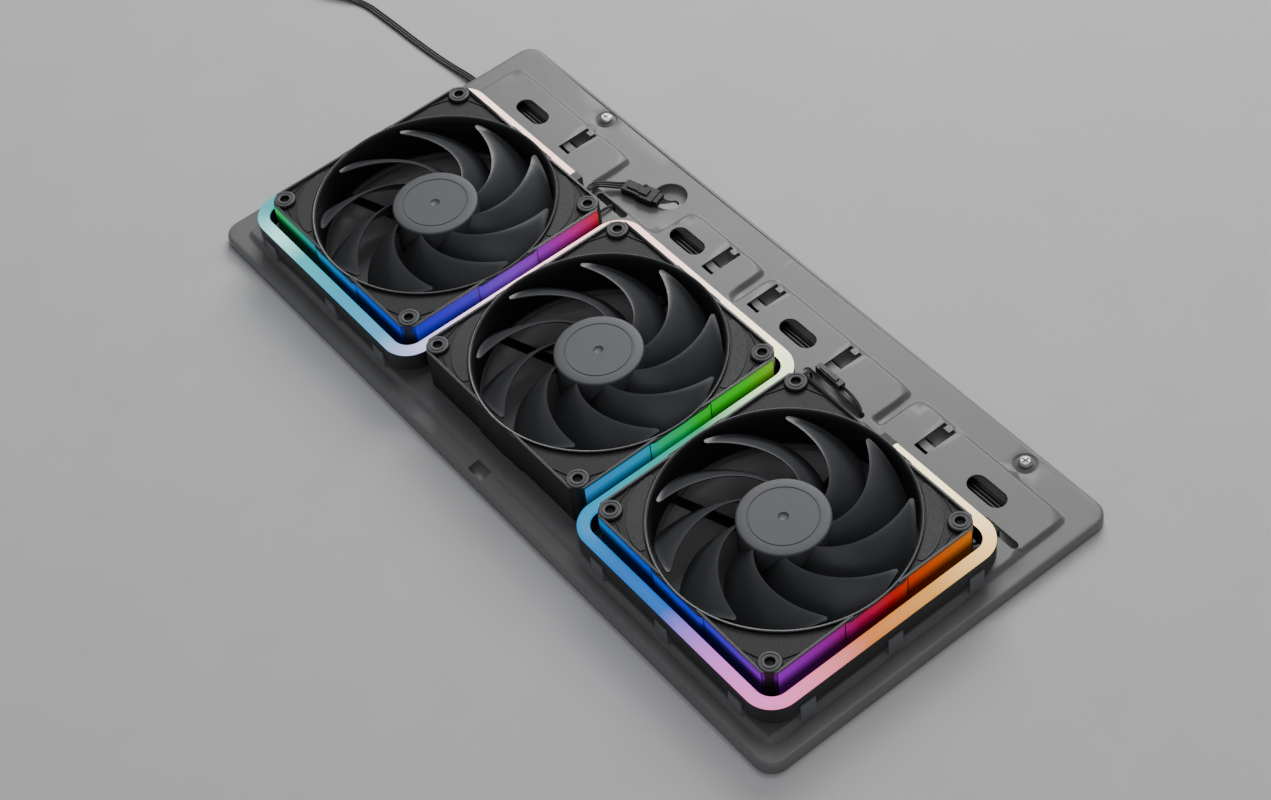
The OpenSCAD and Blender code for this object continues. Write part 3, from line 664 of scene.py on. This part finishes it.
def blade_rings(phase):
    rings = []
    nr, nu = 30, 22
    for j in range(nr + 1):
        t = j / nr
        r = HUB_R - 0.5 + t * (TIP_R - HUB_R + 0.5)
        chord = 38 - 2 * t - 3.2 * max(0, (t - TIP_ROUND) / (1 - TIP_ROUND)) ** 2.6
        top, low = [], []
        for k in range(nu + 1):
            u = k / nu
            a = math.radians(phase + lead_angle(t) - chord * u)
            z = FRAME_Z1 - 1.8 - 0.4 * t - (18.2 - 2 * t) * u ** 1.25
            thick = 0.8 * (4 * (0.06 + 0.88 * u) * (0.94 - 0.88 * u)) ** 0.5
            top.append((r * math.cos(a), r * math.sin(a), z + thick))
            low.append((r * math.cos(a), r * math.sin(a), z - thick))
        rings.append(top + low[::-1])
    return rings


def add_impeller(i, x):
    shape = Shape()
    top, low = FRAME_Z1 - 0.7, FRAME_Z0 + 4.6
    shape.lathe([(0.02, top - 0.6), (1.7, top - 0.6), (2.1, top - 0.35), (2.35, top), (15.1, top),
                 (15.3, top - 0.28), (15.75, top - 0.28), (15.95, top), (19.7, top), (20.3, top - 0.15),
                 (20.65, top - 0.55),
                 (HUB_R, top - 1.1), (HUB_R, low), (18.3, low), (18.3, top - 1.2), (0.02, top - 1.2)],
                segments=128, kind=1)
    for k in range(BLADES):
        shape.sweep(blade_rings(PHASES[i - 1] + 360 * k / BLADES))
    make(f"fan_impeller_{i}", shape, f"rotor_{i}", [BLADE_PLASTIC, HUB_PLASTIC],
         (f"impeller_{i}",), at=(x, FAN_Y, 0))


def add_pads(i, x):
    shape = Shape()
    low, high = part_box(f"fan_pads_{i}")
    z0, z1 = low[2] / MM, high[2] / MM
    for sx in (-HOLE_AT, HOLE_AT):
        for sy in (-HOLE_AT, HOLE_AT):
            base = z1 - 0.5
            shape.lathe([(2.3, base), (2.3, z1 - 0.12), (2.55, z1), (3.3, z1), (3.45, base + 0.08),
                         (3.95, base + 0.08), (4.1, z1 - 0.1), (4.75, z1 - 0.1), (5, z1 - 0.25), (5, base)],
                        (sx, sy), 48)
            shape.lathe([(2.6, z0), (2.6, z0 + 0.48), (5, z0 + 0.48), (5, z0)], (sx, sy), 32)
    make(f"corner_pads_{i}", shape, "chassis", [PAD_RUBBER], (f"fan_pads_{i}",),
         at=(x, FAN_Y, 0))


for number, centre in enumerate(FAN_X, 1):
    add_fan_frame(number, centre)
    add_impeller(number, centre)
    add_pads(number, centre)


# Emission strengths: painted light on the fan walls, and the strip, which is a real lamp
WALL_PAINTED_LIGHT, GLOW_STRIP = 0.6, 3.0
GLOW_BASE = (0.01, 0.01, 0.01)
# How the painted light on a wall dims below its top edge, as (height, share)
PAINTED_LIGHT_FADE = {
    "down": [(0.58, 0.03), (0.72, 0.2), (0.83, 1), (0.97, 1), (1, 0.6)],
    "right": [(0.5, 0.08), (0.64, 0.4), (0.8, 1), (0.97, 1), (1, 0.6)],
}

# Colours of painted light standing in for what the strip throws on a fan's long side and short side, from the
# first end to the last
PAINTED_LIGHT_COLOURS = {
    1: (("down", [(0, (0, 0.8, 0.1)), (0.2, (0, 0.6, 0.3)), (0.45, (0, 0.35, 0.9)), (0.7, (0, 0.15, 1)),
                  (1, (0, 0.04, 1))]),
        ("right", [(0, (0, 0.02, 1)), (0.3, (0.08, 0.02, 1)), (0.5, (0.3, 0.03, 1)), (0.7, (0.45, 0, 0.75)),
                   (0.88, (0.8, 0, 0.35)), (1, (1, 0, 0.02))])),
    2: (("right", [(0, (0.04, 0.4, 1)), (0.3, (0.02, 0.5, 0.9)), (0.38, (0, 0.7, 0.3)), (0.6, (0, 0.8, 0.03)),
                   (0.85, (0.03, 0.85, 0)), (1, (0.3, 0.75, 0))]),),
    3: (("down", [(0, (0, 0.3, 0.9)), (0.25, (0, 0.12, 1)), (0.6, (0, 0.04, 1)), (0.85, (0.1, 0.02, 0.9)),
                  (1, (0.35, 0, 0.8))]),
        ("right", [(0, (0.4, 0, 0.8)), (0.25, (0.45, 0, 0.5)), (0.4, (0.6, 0, 0.12)), (0.6, (0.9, 0.01, 0)),
                   (0.8, (1, 0.12, 0)), (1, (1, 0.25, 0))])),
}


def wall_lift(s):
    """How far the lit band stands out from the wall's flat face at s along it"""
    swelling = 0.82 * min(max((17.2 - abs(s)) / 2.4, 0), 1)
    duct = math.sqrt(RING_R ** 2 - s * s) - SIDE if abs(s) < 11 else 0
    return 0.06 + max(swelling, duct)


def add_painted_wall_light(i, x):
    """Thin emissive bands on the walls that face the strip: painted light and painted reflection of the
    strip's colours
    """
    half = SIDE - CHAMFER
    low, high = FRAME_Z0 + 1.5, FRAME_Z1 - 1.1
    steps = (half, 40, 30, 22, 17.2, 14.8, 11, 9, 7, 5, 3, 1)
    marks = sorted({sign * v for sign in (-1, 1) for v in steps})
    for name, stops in PAINTED_LIGHT_COLOURS[i]:
        rings = []
        for s in marks:
            out = SIDE + wall_lift(s)
            ring = [(s, -out + 0.05, low), (s, -out, low), (s, -out, high), (s, -out + 0.05, high)]
            rings.append(ring if name == "down" else [(-y, t, z) for t, y, z in ring])
        shape = Shape()
        shape.sweep(rings, along=[(s + half) / (2 * half) for s in marks])
        # A raised seam closes each end of the swelling
        for s in (-17.2, 17.2):
            out = SIDE + 0.12
            seam = ((s - 0.35, -out, low), (s + 0.35, -out + 0.3, high))
            if name == "right":
                seam = ((out - 0.3, s - 0.35, low), (out, s + 0.35, high))
            shape.block(*seam, 1)
        # The band's emission is painted light: the strip's colours falling on the wall, which is no lamp
        lit = lamp_glow_and_painted_light(f"side_glow_{name}_{i}", stops, WALL_PAINTED_LIGHT, GLOW_BASE, 0.6, PAINTED_LIGHT_FADE[name])
        make(f"side_glow_{name}_{i}", shape, "chassis", [lit, FRAME_PLASTIC], at=(x, FAN_Y, 0))
    if i != 2:
        # The chamfer between the two lit walls gets faint painted light too
        shape = Shape()
        rings = []
        for cx, cy in ((half + 0.2, -SIDE + 0.2), (SIDE - 0.2, -half - 0.2)):
            outline = ((0.01, low), (0.05, low), (0.05, high), (0.01, high))
            rings.append([(cx + d, cy - d, z) for d, z in outline])
        shape.sweep(rings, along=[0.0, 1.0])
        shade = [(0, PAINTED_LIGHT_COLOURS[i][0][1][-1][1]), (1, PAINTED_LIGHT_COLOURS[i][1][1][0][1])]
        lit = lamp_glow_and_painted_light(f"side_glow_corner_{i}", shade, WALL_PAINTED_LIGHT * 0.4, GLOW_BASE, 0.6, PAINTED_LIGHT_FADE["down"])
        make(f"side_glow_corner_{i}", shape, "chassis", [lit], at=(x, FAN_Y, 0))


for number, centre in enumerate(FAN_X, 1):
    add_painted_wall_light(number, centre)


# ---- light strip ----

STRIP_UP, STRIP_DOWN, STRIP_BEND, STRIP_W = 43, -85.2, 11, 6
STRIP_X = (-189, -62, 66, 196.2)
STRIP_START, STRIP_END = -101.5, 129
STRIP_Z0, STRIP_Z1 = 13.5, 25.5


def strip_route():
    """Points along the middle of the strip, with the bends as arcs, and how far along each one is"""
    up, down = STRIP_UP, STRIP_DOWN
    x0, x1, x2, x3 = STRIP_X
    corners = [Vector(p) for p in ((STRIP_START, up), (x0, up), (x0, down), (x1, down), (x1, up), (x2, up),
                                   (x2, down), (x3, down), (x3, up), (STRIP_END, up))]
    path = [corners[0]]
    for before, corner, after in zip(corners, corners[1:], corners[2:]):
        into, out = (corner - before).normalized(), (after - corner).normalized()
        middle = corner - into * STRIP_BEND + out * STRIP_BEND
        for k in range(13):
            a = math.pi / 2 * k / 12
            path.append(middle + STRIP_BEND * (into * math.sin(a) - out * math.cos(a)))
    path.append(corners[-1])
    full = [path[0]]
    for a, b in zip(path, path[1:]):
        parts = max(1, math.ceil((b - a).length / 6))
        full += [a + (b - a) * k / parts for k in range(1, parts + 1)]
    lengths = [0.0]
    for a, b in zip(full, full[1:]):
        lengths.append(lengths[-1] + (b - a).length)
    return full, [s / lengths[-1] for s in lengths]


def strip_rings(path, profile):
    rings = []
    for k, p in enumerate(path):
        ahead = path[min(k + 1, len(path) - 1)] - path[max(k - 1, 0)]
        side = Vector((ahead.y, -ahead.x)).normalized()
        rings.append([(p.x + side.x * s, p.y + side.y * s, z) for s, z in profile])
    return rings


# Colours along the strip from its start cap to its end cap
STRIP_COLOURS = [
    (0.0, (1, 0.62, 0.52)), (0.09, (1, 0.68, 0.58)), (0.105, (0, 0.16, 0.07)), (0.12, (0, 0.16, 0.09)),
    (0.14, (0, 0.17, 0.11)), (0.175, (0, 0.17, 0.16)), (0.205, (0.015, 0.2, 0.22)),
    (0.225, (0.25, 0.58, 0.55)), (0.245, (0.02, 0.22, 0.25)), (0.28, (0.01, 0.16, 0.24)),
    (0.31, (0.03, 0.17, 0.3)), (0.35, (0.5, 0.4, 0.65)), (0.38, (1, 0.62, 0.72)), (0.43, (1, 0.56, 0.5)),
    (0.48, (1, 0.64, 0.54)), (0.53, (1, 0.78, 0.54)), (0.555, (1, 0.9, 0.6)), (0.58, (0.45, 0.7, 0.35)),
    (0.62, (0.01, 0.18, 0.08)), (0.66, (0, 0.16, 0.18)), (0.685, (0, 0.12, 0.24)),
    (0.72, (0, 0.06, 0.22)), (0.75, (0, 0.055, 0.23)), (0.762, (0.12, 0.07, 0.34)),
    (0.785, (0.34, 0.08, 0.36)), (0.81, (0.48, 0.1, 0.32)), (0.84, (0.48, 0.1, 0.16)),
    (0.865, (0.33, 0.09, 0.01)), (0.9, (0.37, 0.16, 0.02)), (0.93, (0.64, 0.4, 0.12)),
    (0.96, (1, 0.75, 0.4)), (1.0, (1, 0.85, 0.5)),
]


def add_strip():
    path, along = strip_route()
    half = STRIP_W / 2
    shell = Shape()
    # The channel's outline: outer corners, then the trough that holds the board and the diffuser
    channel = [(-half, STRIP_Z0 + 0.4), (-half + 0.4, STRIP_Z0), (half - 0.4, STRIP_Z0),
               (half, STRIP_Z0 + 0.4), (half, STRIP_Z1 - 2), (half - 0.15, STRIP_Z1 - 1.8),
               (half - 0.8, STRIP_Z1 - 1.8), (half - 0.8, STRIP_Z0 + 1.5), (-half + 0.8, STRIP_Z0 + 1.5),
               (-half + 0.8, STRIP_Z1 - 1.8), (-half + 0.15, STRIP_Z1 - 1.8), (-half, STRIP_Z1 - 2)]
    shell.sweep(strip_rings(path, channel))
    make("strip_channel", shell, "chassis", [SILICONE], ("light_body",))
    top = half - 0.1
    crown = []
    for degrees in (0, 12, 25, 40, 60, 80):
        a = math.radians(degrees)
        crown.append((top * math.cos(a) ** 0.6, STRIP_Z1 - 1.5 + 1.5 * math.sin(a) ** 0.7))
    outline = [(half - 0.85, STRIP_Z0 + 4), (half - 0.85, STRIP_Z1 - 1.8), (top, STRIP_Z1 - 1.8)] + crown
    outline += [(-s, z) for s, z in crown[::-1]]
    outline += [(-top, STRIP_Z1 - 1.8), (-half + 0.85, STRIP_Z1 - 1.8), (-half + 0.85, STRIP_Z0 + 4)]
    lens = Shape()
    lens.sweep(strip_rings(path, outline), along=along)
    make("strip_diffuser", lens, "chassis",
         [lamp_glow_and_painted_light("strip_glow", STRIP_COLOURS, GLOW_STRIP, (0.07, 0.07, 0.075), 0.5)], ("light_diffuser",))


def add_caps():
    for name, node, material, slot in (("start_cap", "light_cap_start", CAP_GREY, "cap_grey"),
                                       ("end_cap", "light_cap_end", CAP_BLACK, "cap_black")):
        low, high = (corner_mm(c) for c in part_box(node))
        shape = Shape()
        shape.block(low, high)
        for k in range(3):
            x = low[0] + (high[0] - low[0]) * (0.3 + 0.2 * k)
            shape.block((x - 0.3, low[1] - 0.04, low[2] + 2), (x + 0.3, high[1] + 0.04, high[2] - 1))
        make(name, shape, "chassis", [material], (node,), bevel=0.6)


add_strip()
add_caps()


# ---- wiring on the tray ----

def add_light_lead():
    shape = Shape()
    for k in (-1, 0, 1):
        add_wire(shape, [(-95.7, 43 + 1.5 * k, 18.5), (-94.2, 44.5 + 1.4 * k, 18.3),
                         (-95.5 - 0.8 * k, 48, 16), (-98.5 - 1.2 * k, 51.5, 12.8),
                         (-100 - 1.5 * k, 55.5, 10.2), (-97.5 - k, 59.8 + k, 9.2),
                         (-94 - 0.7 * k, 63.2 + 1.3 * k, 8.8), (-91 - 0.6 * k, 66.2 + 1.8 * k, 8.7)], 0.65)
    make("strip_wires", shape, "chassis", [CABLE], ("light_lead",))


# The plug and the socket lie in line, turned a little from the tray's length
PLUG_AT, PLUG_TURN = Vector((-91, 66, 6)), 18


def add_plug_pair():
    c, s = math.cos(math.radians(PLUG_TURN)), math.sin(math.radians(PLUG_TURN))

    def placed(shape):
        shape.points = [Vector((p.x * c - p.y * s, p.x * s + p.y * c, p.z)) + PLUG_AT for p in shape.points]
        return shape

    shape = Shape()
    shape.block((0, -3.5, 0.2), (9, 3.5, 4.1))
    shape.block((2.2, -1.5, 4), (9, 1.5, 4.8))
    for k in range(4):
        for y in (-3.5, 3.1):
            shape.block((1.2 + 1.6 * k, y, 0.8), (2 + 1.6 * k, y + 0.4, 4.3))
    make("strip_plug", placed(shape), "chassis", [CONNECTOR], ("light_plug",), bevel=0.2)
    shape = Shape()
    shape.block((9.1, -4.4, 0.1), (18.5, 4.4, 4.3))
    shape.block((18.4, -3.4, 0.4), (21, 3.4, 3.8))
    shape.block((9.1, -2.2, 4.2), (14.5, 2.2, 5.1))
    shape.block((9.5, -4.4, 4.2), (11, -2.9, 4.9))
    shape.block((9.5, 2.9, 4.2), (11, 4.4, 4.9))
    socket = placed(shape)
    for k in (-1, 0, 1):
        add_wire(socket, [(-71.1 - 0.5 * k, 72.4 + 1.4 * k, 8.4), (-69.2 - 0.3 * k, 73.6 + k, 8.2),
                          (-67.8, 75.6 + 0.4 * k, 7.7), (-67 + 0.3 * k, 78, 6.8),
                          (-66.9 + 0.3 * k, 79.4, 5.4), (-66.9 + 0.3 * k, 79.8, 3.7)], 0.45)
    make("strip_socket", socket, "chassis", [CONNECTOR], ("light_socket",), bevel=0.2)


def add_fan_lead(i):
    shape = Shape()
    x0 = (-84, 54, 183)[i - 1]
    bend = (-84, 62, 184)[i - 1]
    for k in (-1, 1):
        turn_x = bend + 0.45 * k
        add_wire(shape, [(x0, 39.8, 10.2), ((x0 + bend) / 2 + 0.4 * k, 41.5, 10.2), (turn_x, 44, 10.2),
                         (turn_x, 51.5, 9.9), (turn_x, 53.2, 8.6), (turn_x, 53.4, 6.5),
                         (turn_x, 53.4, 4.6)], 0.45)
    if i == 2:
        shape.block((62.7, 55.7, 8.6), (79.2, 59.3, 11.9))
        shape.block((65, 56.4, 11.8), (76, 58.6, 12.5))
        for k in (-1, 1):
            add_wire(shape, [(79, 57.5, 10.5 + 0.4 * k), (86, 57.2 + 0.4 * k, 10), (93, 55.5 + 0.4 * k, 9.6),
                             (96 + 0.3 * k, 53.6, 8.4), (96.3 + 0.3 * k, 53.2, 5.1)], 0.45)
    make(f"fan_wires_{i}", shape, "chassis", [CABLE], (f"fan_lead_{i}",), bevel=0.1)


add_light_lead()
add_plug_pair()
for number in (1, 2, 3):
    add_fan_lead(number)


# ---- floor and studio light ----

def add_stage():
    mesh = bpy.data.meshes.new("floor")
    size = 6.0
    corners = [(-size, -size, 0), (size, -size, 0), (size, size, 0), (-size, size, 0)]
    mesh.from_pydata(corners, [], [(0, 1, 2, 3)])
    floor = bpy.data.objects.new("floor", mesh)
    bpy.context.scene.collection.objects.link(floor)
    mesh.materials.append(finish_material("floor_paper", (0.62, 0.62, 0.63), 0.7, 0.0, 400, 0.05, 0.02))


def add_light(name, place, target, size, watts):
    data = bpy.data.lights.new(name, "AREA")
    data.shape = "RECTANGLE"
    data.size, data.size_y = size
    data.energy = watts
    light = bpy.data.objects.new(name, data)
    light.location = place
    light.rotation_euler = (Vector(target) - Vector(place)).to_track_quat("-Z", "Y").to_euler()
    bpy.context.scene.collection.objects.link(light)


add_stage()
add_light("key", (-0.9, 1.15, 1.05), (0, 0.05, 0), (1.1, 0.8), 24)
add_light("fill", (1.3, -0.9, 1.3), (0, 0, 0), (1.3, 1.3), 3)
add_light("top", (-0.2, 0.5, 1.7), (0, 0, 0), (1.0, 0.7), 6)
world = bpy.data.worlds.new("studio")
world.use_nodes = True
world.node_tree.nodes["Background"].inputs["Color"].default_value = (0.9, 0.92, 0.95, 1)
world.node_tree.nodes["Background"].inputs["Strength"].default_value = 0.25
bpy.context.scene.world = world
